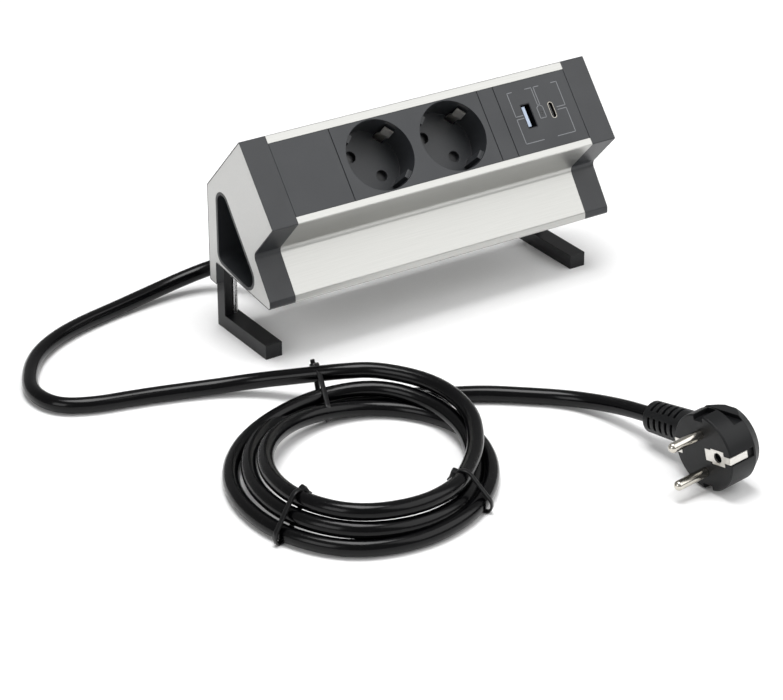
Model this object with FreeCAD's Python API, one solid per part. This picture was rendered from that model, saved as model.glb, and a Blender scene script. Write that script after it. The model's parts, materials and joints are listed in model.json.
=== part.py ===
"""Desk power strip that clamps to the rear edge of a desk.

A slanted aluminium extrusion carries a blank cover, a double earthed socket, a spacer and a USB charger.
Two moulded end caps with metal plates close it. An L-shaped clamp arm slides in each cap on a long screw.
The mains cord leaves the back wall, runs to a tied coil on the floor and ends in an angled plug.

Frame: millimetres, X along the strip, -Y towards the user, +Z up, the clamp arms' undersides at Z = 0.
The panel frame (x, s, d) has s down the slanted panel from the top edge and d into the housing.
"""

import FreeCAD
import Part
import math
import os

from FreeCAD import Vector

# overall
LENGTH = 208.0
HALF = LENGTH / 2
CAP_WIDTH = 14.7
INNER_HALF = HALF - CAP_WIDTH
TOP_Y, TOP_Z = -1.75, 114.75
NOSE_Y, NOSE_Z = -32.25, 78.85
BACK_Y = 31.4
WALL = 1.8

# outline of the cross-section: (y, z, corner radius), from the top edge round the back
OUTLINE = [
    (TOP_Y, TOP_Z, 0.6),
    (BACK_Y, 80.15, 1.2),
    (BACK_Y, 27.5, 0.8),
    (24.55, 26.8, 0.8),
    (24.55, 39.25, 1.0),
    (-28.35, 33.75, 1.8),
    (-27.95, 38.35, 1.6),
    (-13.55, 58.45, 3.5),
    (NOSE_Y, NOSE_Z, 0.6),
]
# cable duct through both ends
DUCT = [(21.5, 88.7, 5.0), (21.5, 42.7, 4.5), (-19.9, 35.8, 6.0)]
DUCT_LIP = 1.6

# panel and the parts clipped into it
PANEL_LENGTH = math.hypot(NOSE_Y - TOP_Y, NOSE_Z - TOP_Z)
SLOPE_Y = (NOSE_Y - TOP_Y) / PANEL_LENGTH
SLOPE_Z = (NOSE_Z - TOP_Z) / PANEL_LENGTH
MOUTH_START, MOUTH_END = 4.4, 43.4
MODULE_GAP = 0.18
CHAMBER_DEPTH = 33.5
WEB = 1.6
FACE = 2.5
SKIRT_DEPTH = 14.0
BLANK_END = -54.8
SOCKETS_END = 34.4
SPACER_END = 44.3
MID_S = 23.9

# earthed socket
SOCKET_X = (-32.0, 12.0)
WELL_R, WELL_DEPTH = 18.8, 17.5
CUP_R, CUP_DEPTH = 20.0, 20.0
PIVOT_END = 23.3
STRAP_DEPTH = 24.0
BAR_START, BAR_DEPTH, BAR_THICK = -42.7, 30.0, 0.8
PIN_SPACING = 19.0
PIN_R = 2.4
HOLE_R = 3.0
PIN_LINE = math.radians(45)
CLIP_WIDTH = 5.4
PIVOT_R = 1.5
SHUTTER_TOP, SHUTTER_THICK = 20.2, 1.4

# USB ports, all on the middle line of their module
USB_A_X, LIGHT_X, USB_C_X = 59.0, 67.1, 73.9
USB_A_SIZE = (5.8, 13.2)
USB_C_SIZE = (3.3, 9.1)
BOARD_TOP = 16.0
BOARD_POSTS = [(49.8, 11.0), (84.0, 11.0), (49.8, 37.0), (84.0, 37.0)]

# terminal for the cord's cores
TERMINAL_X = -66.0
TERMINAL_S = (17.0, 25.0, 33.0)

# clamp
ARM_OUTER_X = -99.6
ARM_INNER_X = -90.2
LIMB_INNER_X = -94.8
GUIDE_INNER_X = -95.5
ARM_FRONT_Y, ARM_BACK_Y = -15.45, 32.25
LIMB_FRONT_Y, GUIDE_BACK_Y = 24.95, 29.4
LIMB_THICK = 7.8
LIMB_TOP, GUIDE_TOP = 28.0, 62.5
SLOT_TOP = 45.6
GUIDE_SLOT_TOP = 80.0
SCREW_X, SCREW_Y = -92.8, 26.6
SCREW_R, SCREW_TIP, SCREW_HOLE_TOP = 1.5, 65.5, 83.0
HEAD_R, HEAD_TOP = 2.2, 3.4
INSERT_R, INSERT_Z, INSERT_LENGTH = 1.95, 45.9, 5.0
SLIDE_GAP = 0.15

# end cap screws, (s, d) in the panel frame
CAP_SCREWS = [(7.0, 31.0), (45.4, 31.0), (62.0, 31.9)]
PORT_R, TAP_R = 3.0, 1.25
PLATE = 1.2

# mains cord
CORD_R = 4.0
OUTLET = Vector(-58.0, 33.5, 51.0)
OUTLET_WAY = Vector(-0.275, 0.58, -0.767).normalize()
OUTLET_LENGTH = 26.2
FLOOR = CORD_R + 0.25
ROUTE_OUT = [
    OUTLET + OUTLET_WAY * OUTLET_LENGTH,
    OUTLET + OUTLET_WAY * (OUTLET_LENGTH + 15),
    Vector(-83.5, 69.6, 12.6),
    Vector(-101.8, 72.6, 8.4),
    Vector(-121.5, 71.4, 5.8),
    Vector(-142.0, 68.4, FLOOR),
    Vector(-162.0, 63.6, FLOOR + 0.1),
    Vector(-180.5, 56.6, FLOOR),
    Vector(-197.5, 44.6, FLOOR + 0.1),
    Vector(-209.5, 28.5, FLOOR),
    Vector(-217.0, 10.5, FLOOR + 0.1),
    Vector(-213.0, -7.5, FLOOR),
    Vector(-197.5, -16.6, FLOOR + 0.1),
    Vector(-177.0, -21.0, FLOOR),
    Vector(-157.0, -27.0, FLOOR + 0.1),
    Vector(-138.5, -33.8, 4.8),
    Vector(-121.0, -44.0, 7.6),
    Vector(-107.0, -59.5, 12.8),
    Vector(-93.0, -73.0, 17.2),
]
ROUTE_IN_START = [
    Vector(-66.0, -97.6, 5.4),
    Vector(-49.0, -101.6, FLOOR),
    Vector(-33.5, -110.2, FLOOR + 0.1),
    Vector(-18.5, -122.2, FLOOR),
    Vector(-2.5, -136.3, FLOOR + 0.1),
    Vector(6.0, -152.0, 6.4),
]
CORE_R, CORE_PITCH = 1.2, 2.6

# coil: an oval ring of four arcs, long axis along COIL_WAY
COIL_CENTRE = Vector(-121.5, -140.0, 0)
COIL_WAY = math.degrees(math.atan2(0.792, 0.611))
COIL_LONG, COIL_SHORT, COIL_END_R = 66.0, 53.0, 46.0
COIL_WIDTH, COIL_BOTTOM, COIL_TOP, COIL_CORNER = 26.0, 1.3, 22.6, 8.0
TIE_ANGLES = (34.0, 139.0, 249.0)
TIE_THICK, TIE_WIDTH = 1.1, 2.6

# plug: its frame has X along the pin line, Y towards the cord, Z out of the face
PLUG_FACE = Vector(1.5, -234.8, 19.2)
PLUG_WAY = Vector(-0.9942, -0.0708, -0.0813).normalize()
PLUG_UP = Vector(-0.0931, 0.1835, 0.9786)
PLUG_FACE_R, PLUG_RIM, PLUG_DEPTH = 19.0, 15.0, 20.0
PLUG_BACK_R = 16.0
GRIP_RIDGE, GRIP_VALLEY = 15.6, 13.6
GRIP_START, GRIP_END = 9.4, 14.8
PLUG_CORD_RISE, PLUG_CORD_DEPTH = 2.5, 12.0
RELIEF_START, RELIEF_END, RELIEF_TIP = 23.0, 48.0, 2.0
RELIEF_R, RELIEF_TIP_R = 8.4, 7.8
SLOT_COUNT, SLOT_PITCH, SLOT_WIDTH, SLOT_DEPTH = 5, 4.1, 1.8, 2.0
SLOT_ROWS = [(40.0, 52.0), (108.0, 44.0)]
PIN_LENGTH = 19.0
EARTH_HOLE_Y, EARTH_HOLE_R = -10.0, 2.5


def panel_yz(s, d):
    """Panel frame (s, d) to (y, z)."""
    return (TOP_Y + s * SLOPE_Y - d * SLOPE_Z, TOP_Z + s * SLOPE_Z + d * SLOPE_Y)


PANEL = FreeCAD.Placement(FreeCAD.Matrix(
    1, 0, 0, 0,
    0, SLOPE_Y, -SLOPE_Z, TOP_Y,
    0, SLOPE_Z, SLOPE_Y, TOP_Z,
    0, 0, 0, 1))


def on_panel(shape):
    """Place a shape modelled in the panel frame (x, s, d)."""
    placed = shape.copy()
    placed.Placement = PANEL.multiply(placed.Placement)
    return placed


def box(x0, x1, y0, y1, z0, z1):
    return Part.makeBox(x1 - x0, y1 - y0, z1 - z0, Vector(x0, y0, z0))


def rod(radius, start, end):
    way = end - start
    return Part.makeCylinder(radius, way.Length, start, way)


def rounded_face(corners, place):
    """Face through (u, v, radius) corners, each rounded by a tangent arc. place maps (u, v) to a Vector."""
    points = [place(u, v) for u, v, _ in corners]
    starts, mids, ends = [], [], []
    for i, point in enumerate(points):
        back = (points[i - 1] - point).normalize()
        ahead = (points[(i + 1) % len(points)] - point).normalize()
        half = back.getAngle(ahead) / 2
        radius = corners[i][2]
        reach = radius / math.tan(half)
        inward = (back + ahead).normalize()
        starts.append(point + back * reach)
        ends.append(point + ahead * reach)
        mids.append(point + inward * (radius / math.sin(half) - radius))
    edges = []
    for i in range(len(points)):
        if corners[i][2] > 0:
            edges.append(Part.Arc(starts[i], mids[i], ends[i]).toShape())
        edges.append(Part.LineSegment(ends[i], starts[(i + 1) % len(points)]).toShape())
    return Part.Face(Part.Wire(edges))


def section_prism(corners, x0, x1, offset=0.0):
    """(y, z, radius) outline, offset outwards, extruded from x0 to x1."""
    face = rounded_face(corners, lambda y, z: Vector(x0, y, z))
    if offset:
        face = face.makeOffset2D(offset)
    return face.extrude(Vector(x1 - x0, 0, 0))


def chamber_prism(corners, x0, x1):
    """(s, d, radius) outline in the panel frame, extruded from x0 to x1."""
    return section_prism([(*panel_yz(s, d), r) for s, d, r in corners], x0, x1)


def mirrored(shape):
    return shape.mirror(Vector(0, 0, 0), Vector(1, 0, 0))


# housing

def housing_profile():
    """Extrusion: electrical chamber under the panel, cable duct behind it, hollow front leg."""
    x0, x1 = -INNER_HALF, INNER_HALF
    body = section_prism(OUTLINE, x0, x1)
    wide = (x0 - 1, x1 + 1)
    body = body.cut(chamber_prism([
        (2.0, 2.0, 0.4), (45.1, 2.0, 0.4), (48.2, 28.0, 1.0), (48.2, CHAMBER_DEPTH, 1.0),
        (5.0, CHAMBER_DEPTH, 1.0)], *wide))
    body = body.cut(chamber_prism([
        (MOUTH_START, -1, 0), (MOUTH_END, -1, 0), (MOUTH_END, 3, 0), (MOUTH_START, 3, 0)], *wide))
    body = body.cut(chamber_prism([
        (51.5, 29.7, 0.4), (74.0, 31.4, 0.4), (74.0, CHAMBER_DEPTH, 0.4),
        (51.5, CHAMBER_DEPTH, 0.4)], *wide))
    duct_depth = CHAMBER_DEPTH + WEB
    inside = BACK_Y - WALL
    body = body.cut(section_prism([
        (*panel_yz(5.6, duct_depth), 1.0), (inside, 79.0, 1.0), (inside, 41.9, 1.0),
        (*panel_yz(70.6, duct_depth), 1.5)], *wide))
    body = body.cut(section_prism([
        (26.4, 28.9, 0.5), (inside, 28.9, 0.5), (inside, 39.4, 0.5), (26.4, 39.4, 0.5)], *wide))
    for s, d in CAP_SCREWS:
        y, z = panel_yz(s, d)
        port = rod(PORT_R, Vector(x0, y, z), Vector(x1, y, z))
        body = body.fuse(port)
    for s, d in CAP_SCREWS:
        y, z = panel_yz(s, d)
        body = body.cut(rod(TAP_R, Vector(wide[0], y, z), Vector(wide[1], y, z)))
    outlet = rod(6.2, Vector(OUTLET.x, BACK_Y - 4, OUTLET.z), Vector(OUTLET.x, BACK_Y + 4, OUTLET.z))
    slot_depth = CHAMBER_DEPTH + WEB + 1
    core_slot = on_panel(box(OUTLET.x - 5, OUTLET.x + 5, 12.6, 19.4, CHAMBER_DEPTH - 1, slot_depth))
    return body.cut(outlet).cut(core_slot)


def cap_screw_hole(s, d, radius, x0, x1):
    y, z = panel_yz(s, d)
    return rod(radius, Vector(x0, y, z), Vector(x1, y, z))


def end_cap():
    """Left end cap: rim, end wall with a recess for the plate, duct lip, guide for the clamp arm."""
    x0, x1 = -HALF, -INNER_HALF
    wall_x = x0 + PLATE + 2.0
    outer = section_prism(OUTLINE, x0, x1)
    cap = outer.cut(section_prism(OUTLINE, x0 - 1, x0 + PLATE, -0.5))
    cap = cap.cut(section_prism(OUTLINE, wall_x, x1 + 1, -2.2))
    cap = cap.fuse(section_prism(DUCT, x0, x1, DUCT_LIP).common(outer))
    guide = box(x0 + PLATE, x1, 22.8, BACK_Y, 26.0, 66.0).common(outer)
    cap = cap.fuse(guide)
    for s, d in CAP_SCREWS:
        cap = cap.fuse(cap_screw_hole(s, d, PORT_R, wall_x - 1, x1))
    cap = cap.cut(section_prism(DUCT, x0 - 1, x1 + 1))
    arm_x0 = ARM_OUTER_X - SLIDE_GAP
    arm_y0 = LIMB_FRONT_Y - SLIDE_GAP
    cap = cap.cut(box(arm_x0, x1 + 1, 23.9, BACK_Y + 2, 20, 39.3))
    cap = cap.cut(box(arm_x0, LIMB_INNER_X + SLIDE_GAP, arm_y0, BACK_Y + 2, 39, SLOT_TOP))
    guide_x1, guide_y1 = GUIDE_INNER_X + SLIDE_GAP, GUIDE_BACK_Y + SLIDE_GAP
    cap = cap.cut(box(arm_x0, guide_x1, arm_y0, guide_y1, 39, GUIDE_SLOT_TOP))
    screw_way = (Vector(SCREW_X, SCREW_Y, 30), Vector(SCREW_X, SCREW_Y, SCREW_HOLE_TOP))
    cap = cap.cut(rod(SCREW_R + 0.4, *screw_way))
    insert_way = (Vector(SCREW_X, SCREW_Y, INSERT_Z), Vector(SCREW_X, SCREW_Y, INSERT_Z + INSERT_LENGTH))
    cap = cap.cut(rod(INSERT_R, *insert_way))
    for s, d in CAP_SCREWS:
        cap = cap.cut(cap_screw_hole(s, d, 1.6, x0 - 1, x1 + 1))
        cap = cap.cut(cap_screw_hole(s, d, 2.7, x0 - 1, x0 + PLATE + 2.1))
    return cap


def side_plate():
    """Left plate: the outline just inside the cap's rim, with the duct opening."""
    x0 = -HALF
    plate = section_prism(OUTLINE, x0, x0 + PLATE, -0.55)
    return plate.cut(section_prism(DUCT, x0 - 1, x0 + PLATE + 1, DUCT_LIP + 0.05))


def end_cap_screws():
    """Three pan-head screws at each end, hidden under the plates."""
    screws = []
    head_x = -HALF + PLATE + 0.1
    for s, d in CAP_SCREWS:
        head = cap_screw_hole(s, d, 2.6, head_x, head_x + 1.9)
        shank = cap_screw_hole(s, d, TAP_R, head_x, -INNER_HALF + 9)
        y, z = panel_yz(s, d)
        recess = box(head_x - 1, head_x + 1.1, y - 0.3, y + 0.3, z - 1.4, z + 1.4)
        recess = recess.fuse(box(head_x - 1, head_x + 1.1, y - 1.4, y + 1.4, z - 0.3, z + 0.3))
        screw = head.fuse(shank).cut(recess)
        screws += [screw, mirrored(screw)]
    return Part.makeCompound(screws)


# panel modules

def module_shell(x0, x1):
    """Face plate with a skirt behind it, and snap ridges that catch under the housing's lips."""
    a, b = x0 + MODULE_GAP, x1 - MODULE_GAP
    s0, s1 = MOUTH_START + 0.05, MOUTH_END - 0.05
    face = box(a, b, s0, s1, 0.1, FACE)
    skirt = box(a, b, s0 + 0.6, s1 - 0.6, FACE, SKIRT_DEPTH)
    skirt = skirt.cut(box(a + 1.4, b - 1.4, s0 + 2.0, s1 - 2.0, FACE, SKIRT_DEPTH + 1))
    ridges = box(a + 2, b - 2, s0 - 1.2, s0 + 1, 2.3, 3.5)
    ridges = ridges.fuse(box(a + 2, b - 2, s1 - 1, s1 + 1.2, 2.3, 3.5))
    return face.fuse([skirt, ridges])


def along(x, angle, distance):
    """Point at a distance from a socket's centre, in the panel frame."""
    return x + distance * math.cos(angle), MID_S + distance * math.sin(angle)


def turned_box(x, angle, r0, r1, half_width, d0, d1):
    """Box from radius r0 to r1 along a direction through a socket's centre."""
    shape = box(r0, r1, -half_width, half_width, d0, d1)
    shape.rotate(Vector(0, 0, 0), Vector(0, 0, 1), math.degrees(angle))
    shape.translate(Vector(x, MID_S, 0))
    return shape


def socket_insert():
    """Double socket: two wells with pin holes, keying ribs and slots for the earth clips."""
    insert = module_shell(BLANK_END, SOCKETS_END)
    clip_line = PIN_LINE - math.pi / 2
    for x in SOCKET_X:
        insert = insert.fuse(Part.makeCylinder(CUP_R, CUP_DEPTH - 2.1, Vector(x, MID_S, 2.1)))
    for x in SOCKET_X:
        insert = insert.cut(Part.makeCylinder(WELL_R, WELL_DEPTH + 1, Vector(x, MID_S, -1)))
        for turn in (0, math.pi):
            rib = turned_box(x, PIN_LINE + turn, WELL_R - 2.2, WELL_R + 0.5, 2.4, 2.6, WELL_DEPTH + 0.5)
            insert = insert.fuse(rib)
            insert = insert.cut(turned_box(x, clip_line + turn, 16.2, 19.6, 3.0, 2.6, CUP_DEPTH + 1))
            hx, hs = along(x, PIN_LINE + turn, PIN_SPACING / 2)
            insert = insert.cut(Part.makeCylinder(HOLE_R, 6, Vector(hx, hs, WELL_DEPTH - 1)))
        pivot_foot = Vector(x, MID_S, CUP_DEPTH - 0.2)
        insert = insert.fuse(Part.makeCylinder(PIVOT_R, PIVOT_END - CUP_DEPTH + 0.2, pivot_foot))
    return insert


def strip(points, width, thickness):
    """Bent metal strip through points in the X-Z plane, centred on Y = 0."""
    pieces = []
    for a, b in zip(points[:-1], points[1:]):
        start, end = Vector(a[0], 0, a[1]), Vector(b[0], 0, b[1])
        way = end - start
        leg = box(0, way.Length, -width / 2, width / 2, -thickness / 2, thickness / 2)
        leg.rotate(Vector(0, 0, 0), Vector(0, 1, 0), -math.degrees(math.atan2(way.z, way.x)))
        leg.translate(start)
        pieces.append(leg)
    for a in points[1:-1]:
        pieces.append(rod(thickness / 2, Vector(a[0], -width / 2, a[1]), Vector(a[0], width / 2, a[1])))
    return pieces[0].fuse(pieces[1:]).removeSplitter()


def earth_strip():
    """Earth strip under both wells, with a sprung clip standing in the wall at each end of each strap."""
    half = [(0, STRAP_DEPTH), (18.2, STRAP_DEPTH), (18.2, 14.2), (16.0, 8.6), (17.5, 4.2)]
    points = [(-r, d) for r, d in reversed(half)] + half[1:]
    link = box(SOCKET_X[0], SOCKET_X[1], MID_S - 2.4, MID_S + 2.4, STRAP_DEPTH - 0.4, STRAP_DEPTH + 0.4)
    for x in SOCKET_X:
        strap = strip(points, CLIP_WIDTH, 0.8)
        strap.rotate(Vector(0, 0, 0), Vector(0, 0, 1), math.degrees(PIN_LINE - math.pi / 2))
        strap.translate(Vector(x, MID_S, 0))
        link = link.fuse(strap)
    return link


def shutter_spring(x):
    """Small torsion spring on the shutter's pivot, as a closed ring with one leg on the shutter."""
    ring = Part.makeCylinder(2.8, 1.4, Vector(x, MID_S, SHUTTER_TOP + SHUTTER_THICK))
    under = SHUTTER_TOP + SHUTTER_THICK
    leg = turned_box(x, PIN_LINE, 2.0, 6.0, 0.35, under, under + 0.6)
    return ring.fuse(leg).cut(Part.makeCylinder(PIVOT_R + 0.1, 4, Vector(x, MID_S, SHUTTER_TOP)))


def contact_carrier():
    """Moulded back of the double socket: carries the bus bars and stands on posts under the wells."""
    carrier = box(-42.4, 26.4, 10.4, 39.6, BAR_DEPTH + BAR_THICK, CHAMBER_DEPTH)
    for x, s in ((-40.0, 11.9), (-10.0, 12.4), (-10.0, 35.4), (24.9, 38.1)):
        post = Part.makeCylinder(1.5, CHAMBER_DEPTH - CUP_DEPTH - 0.5, Vector(x, s, CUP_DEPTH))
        carrier = carrier.fuse(post)
    for x in SOCKET_X:
        foot = Part.makeCylinder(2.0, 7.4, Vector(x, MID_S, STRAP_DEPTH + 0.4))
        carrier = carrier.fuse(foot)
    return carrier


def bus_bar(side):
    """Bar with a contact sleeve behind the same hole of both sockets. side is -1 live, 1 neutral."""
    reach = PIN_SPACING / 2 * math.sqrt(0.5) * side
    s = MID_S + reach
    xs = [x + reach for x in SOCKET_X]
    bar = box(BAR_START, xs[1] + 4, s - 2.6, s + 2.6, BAR_DEPTH, BAR_DEPTH + BAR_THICK)
    for x in xs:
        bar = bar.fuse(Part.makeCylinder(3.1, 7.9, Vector(x, s, 22.2)))
    for x in xs:
        bar = bar.cut(Part.makeCylinder(PIN_R - 0.05, 9, Vector(x, s, 21.5)))
        bar = bar.cut(box(x - 4, x + 4, s - 0.3, s + 0.3, 21.5, 27.5))
    return bar


def shutter(x):
    """Turning shutter under one well's floor: a hub with a paddle over each pin hole."""
    reach, half_width = 9.4, 3.8
    paddle = box(-reach, reach, -half_width, half_width, SHUTTER_TOP, SHUTTER_TOP + SHUTTER_THICK)
    for side in (-1, 1):
        tip = Vector(side * reach, 0, SHUTTER_TOP)
        paddle = paddle.fuse(Part.makeCylinder(half_width, SHUTTER_THICK, tip))
    paddle = paddle.cut(Part.makeCylinder(PIVOT_R + 0.05, 4, Vector(0, 0, SHUTTER_TOP - 1)))
    paddle.rotate(Vector(0, 0, 0), Vector(0, 0, 1), math.degrees(PIN_LINE))
    paddle.translate(Vector(x, MID_S, 0))
    return paddle


def stadium(x, length, width, d0, d1):
    """Slot-shaped prism, long along s, centred on the module's middle line."""
    radius = width / 2
    flat = length / 2 - radius
    shape = box(x - radius, x + radius, MID_S - flat, MID_S + flat, d0, d1)
    for side in (-1, 1):
        shape = shape.fuse(Part.makeCylinder(radius, d1 - d0, Vector(x, MID_S + side * flat, d0)))
    return shape.removeSplitter()


def usb_module():
    """Charger face with openings for both ports and the status light."""
    face = module_shell(SPACER_END, INNER_HALF)
    width, length = USB_A_SIZE
    face = face.cut(box(USB_A_X - width / 2 - 0.05, USB_A_X + width / 2 + 0.05,
                        MID_S - length / 2 - 0.05, MID_S + length / 2 + 0.05, -1, FACE + 1))
    face = face.cut(stadium(USB_C_X, USB_C_SIZE[1] + 0.1, USB_C_SIZE[0] + 0.1, -1, FACE + 1))
    for x, s in BOARD_POSTS:
        face = face.fuse(Part.makeCylinder(2.0, BOARD_TOP - FACE + 0.5, Vector(x, s, FACE - 0.5)))
    return face.cut(Part.makeCylinder(0.75, FACE + 2, Vector(LIGHT_X, MID_S, -1)))


def usb_a_shell():
    width, length = USB_A_SIZE
    half, reach = width / 2, length / 2
    shell = box(USB_A_X - half, USB_A_X + half, MID_S - reach, MID_S + reach, 0.2, BOARD_TOP)
    inner = box(USB_A_X - width / 2 + 0.35, USB_A_X + width / 2 - 0.35,
                MID_S - length / 2 + 0.35, MID_S + length / 2 - 0.35, 0, BOARD_TOP - 1.5)
    return shell.cut(inner)


def usb_a_tongue():
    x0 = USB_A_X - 2.0
    return box(x0, x0 + 1.9, MID_S - 5.5, MID_S + 5.5, 1.0, BOARD_TOP - 1.5)


def usb_c_shell():
    width, length = USB_C_SIZE
    shell = stadium(USB_C_X, length, width, 0.2, BOARD_TOP)
    return shell.cut(stadium(USB_C_X, length - 0.7, width - 0.7, 0, BOARD_TOP - 6))


def usb_c_tongue():
    return box(USB_C_X - 0.35, USB_C_X + 0.35, MID_S - 3.35, MID_S + 3.35, 1.2, BOARD_TOP - 6)


def light_pipe():
    return Part.makeCylinder(0.7, BOARD_TOP - 0.15, Vector(LIGHT_X, MID_S, 0.15))


def charger_board():
    """Circuit board behind the ports."""
    return box(47.5, 86.5, 8.0, 40.0, BOARD_TOP, BOARD_TOP + 1.6)


def charger_transformer():
    core = box(52, 66, 12, 28, BOARD_TOP + 1.6, BOARD_TOP + 13)
    return core.fuse(box(50.6, 67.4, 15, 25, BOARD_TOP + 1.6, BOARD_TOP + 10.5))


def charger_capacitor():
    return Part.makeCylinder(4.0, 12, Vector(76, 18, BOARD_TOP + 1.6)).fuse(
        Part.makeCylinder(3.2, 9, Vector(76, 31, BOARD_TOP + 1.6)))


def terminal_block():
    """Screw terminal for the cord's three cores, behind the blank cover."""
    block = box(-87.0, TERMINAL_X, 12.0, 38.0, 19.0, CHAMBER_DEPTH)
    for s in TERMINAL_S:
        block = block.cut(Part.makeCylinder(2.0, 5, Vector(-76, s, 18)))
    return block


def core_tube(points):
    """Insulated core through world points."""
    path, _ = cord_path(points)
    circle = Part.Wire(Part.makeCircle(CORE_R, points[0], points[1] - points[0]))
    return path.makePipeShell([circle], True, False)


def panel_point(x, s, d):
    return Vector(x, *panel_yz(s, d))


def inner_wires():
    """Three cores up to the terminal, and links to the bus bars, the earth strip and the board."""
    reach = PIN_SPACING / 2 * math.sqrt(0.5)
    bar = BAR_DEPTH + BAR_THICK / 2
    wires = []
    for i, s in enumerate(TERMINAL_S):
        x = OUTLET.x + (1 - i) * CORE_PITCH
        wires.append(core_tube([
            Vector(x, 32.4, OUTLET.z), Vector(x, 25.0, OUTLET.z),
            Vector(x, 24.8, 64.0), Vector(x, 23.6, 73.0),
            panel_point(x, 16.0, 33.5), panel_point(x, s - 3, 26.0 - 1.5 * i),
            panel_point(TERMINAL_X, s, 24.0)]))
    links = [
        (TERMINAL_X, MID_S - reach, bar, BAR_START, MID_S - reach, bar),
        (TERMINAL_X, MID_S + reach, bar, BAR_START, MID_S + reach, bar),
        (TERMINAL_X, 36.0, 21.8, -46.3, 36.0, 21.8),
        (SOCKET_X[1] - reach + 3.4, MID_S - reach, bar - 1.5, 47.5, MID_S - reach, BOARD_TOP + 0.8),
        (SOCKET_X[1] + reach + 3.4, MID_S + reach, bar - 1.5, 47.5, MID_S + reach, BOARD_TOP + 0.8),
    ]
    for x0, s0, d0, x1, s1, d1 in links:
        wires.append(rod(CORE_R, panel_point(x0, s0, d0), panel_point(x1, s1, d1)))
    return Part.makeCompound(wires)


# clamps

def clamp_arm():
    """Left L-shaped arm: limb under the desk, upright on its edge, thinner guide in the cap."""
    arm = box(ARM_OUTER_X, ARM_INNER_X, ARM_FRONT_Y, ARM_BACK_Y, 0, LIMB_THICK)
    arm = arm.fuse(box(ARM_OUTER_X, LIMB_INNER_X, LIMB_FRONT_Y, ARM_BACK_Y, 0, LIMB_TOP))
    arm = arm.fuse(box(ARM_OUTER_X, GUIDE_INNER_X, LIMB_FRONT_Y, GUIDE_BACK_Y, LIMB_TOP, GUIDE_TOP))
    arm = arm.cut(rod(SCREW_R + 0.1, Vector(SCREW_X, SCREW_Y, -1), Vector(SCREW_X, SCREW_Y, LIMB_THICK + 1)))
    head_top = Vector(SCREW_X, SCREW_Y, HEAD_TOP + 0.05)
    return arm.cut(rod(HEAD_R + 0.15, Vector(SCREW_X, SCREW_Y, -1), head_top))


def hexagon(flats, z, x, y):
    corners = [Vector(x + flats / math.sqrt(3) * math.cos(math.radians(60 * i)),
                      y + flats / math.sqrt(3) * math.sin(math.radians(60 * i)), z) for i in range(6)]
    return Part.Face(Part.makePolygon(corners + corners[:1]))


def clamp_screw():
    """Left clamp screw: recessed socket head under the limb, long shank up into the threaded insert."""
    screw = rod(HEAD_R, Vector(SCREW_X, SCREW_Y, 0.5), Vector(SCREW_X, SCREW_Y, HEAD_TOP))
    screw = screw.fuse(rod(SCREW_R, Vector(SCREW_X, SCREW_Y, HEAD_TOP), Vector(SCREW_X, SCREW_Y, SCREW_TIP)))
    return screw.cut(hexagon(2.5, 0, SCREW_X, SCREW_Y).extrude(Vector(0, 0, 2.0)))


def clamp_insert():
    """Left brass insert, threaded for the clamp screw."""
    foot = Vector(SCREW_X, SCREW_Y, INSERT_Z)
    top = foot + Vector(0, 0, INSERT_LENGTH)
    return rod(INSERT_R, foot, top).cut(rod(SCREW_R + 0.06, foot - Vector(0, 0, 1), top + Vector(0, 0, 1)))


# mains cord

def cord_path(points):
    """Straight runs through the points, joined by tangent arcs of 0.45 of the shorter run."""
    edges = []
    radii = []
    here = points[0]
    for before, corner, after in zip(points[:-2], points[1:-1], points[2:]):
        back = before - corner
        ahead = after - corner
        reach = 0.45 * min(back.Length, ahead.Length)
        half_turn = (math.pi - back.getAngle(ahead)) / 2
        radius = reach / math.tan(half_turn)
        back.normalize()
        ahead.normalize()
        inward = (back + ahead).normalize()
        start, end = corner + back * reach, corner + ahead * reach
        middle = corner + inward * (radius / math.cos(half_turn) - radius)
        edges.append(Part.LineSegment(here, start).toShape())
        edges.append(Part.Arc(start, middle, end).toShape())
        radii.append(radius)
        here = end
    edges.append(Part.LineSegment(here, points[-1]).toShape())
    return Part.Wire(edges), radii


def cord_tube(name, points):
    """Round tube along the route. Prints its length, its bend radii and how true its volume is."""
    path, radii = cord_path(points)
    circle = Part.Wire(Part.makeCircle(CORD_R, points[0], points[1] - points[0]))
    tube = path.makePipeShell([circle], True, False)
    volume = math.pi * CORD_R ** 2 * path.Length
    print(name, "length %.1f" % path.Length, "volume ratio %.4f" % (tube.Volume / volume),
          "radii", " ".join("%.0f" % radius for radius in radii))
    return tube


def outlet_relief():
    """Cord outlet on the back wall: round flange, ball and a tapered relief that points down and left."""
    wall = Vector(OUTLET.x, BACK_Y + 0.02, OUTLET.z)
    flange = Part.makeCylinder(10.0, 2.6, wall, Vector(0, 1, 0))
    collar = Part.makeCylinder(6.1, 4.6, wall - Vector(0, 4.6, 0), Vector(0, 1, 0))
    lock_ring = Part.makeCylinder(8.0, 1.6, wall - Vector(0, WALL + 1.7, 0), Vector(0, 1, 0))
    behind = box(OUTLET.x - 20, OUTLET.x + 20, wall.y, wall.y + 60, OUTLET.z - 40, OUTLET.z + 40)
    ball = Part.makeSphere(7.4, OUTLET).common(behind)
    cone = Part.makeCone(7.2, 5.4, OUTLET_LENGTH, OUTLET, OUTLET_WAY)
    relief = flange.fuse([collar, lock_ring, ball, cone.common(behind)])
    passage = rod(CORD_R + 0.1, wall - Vector(0, 8, 0), Vector(OUTLET.x, 32.4, OUTLET.z))
    return relief.cut(passage)


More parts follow.
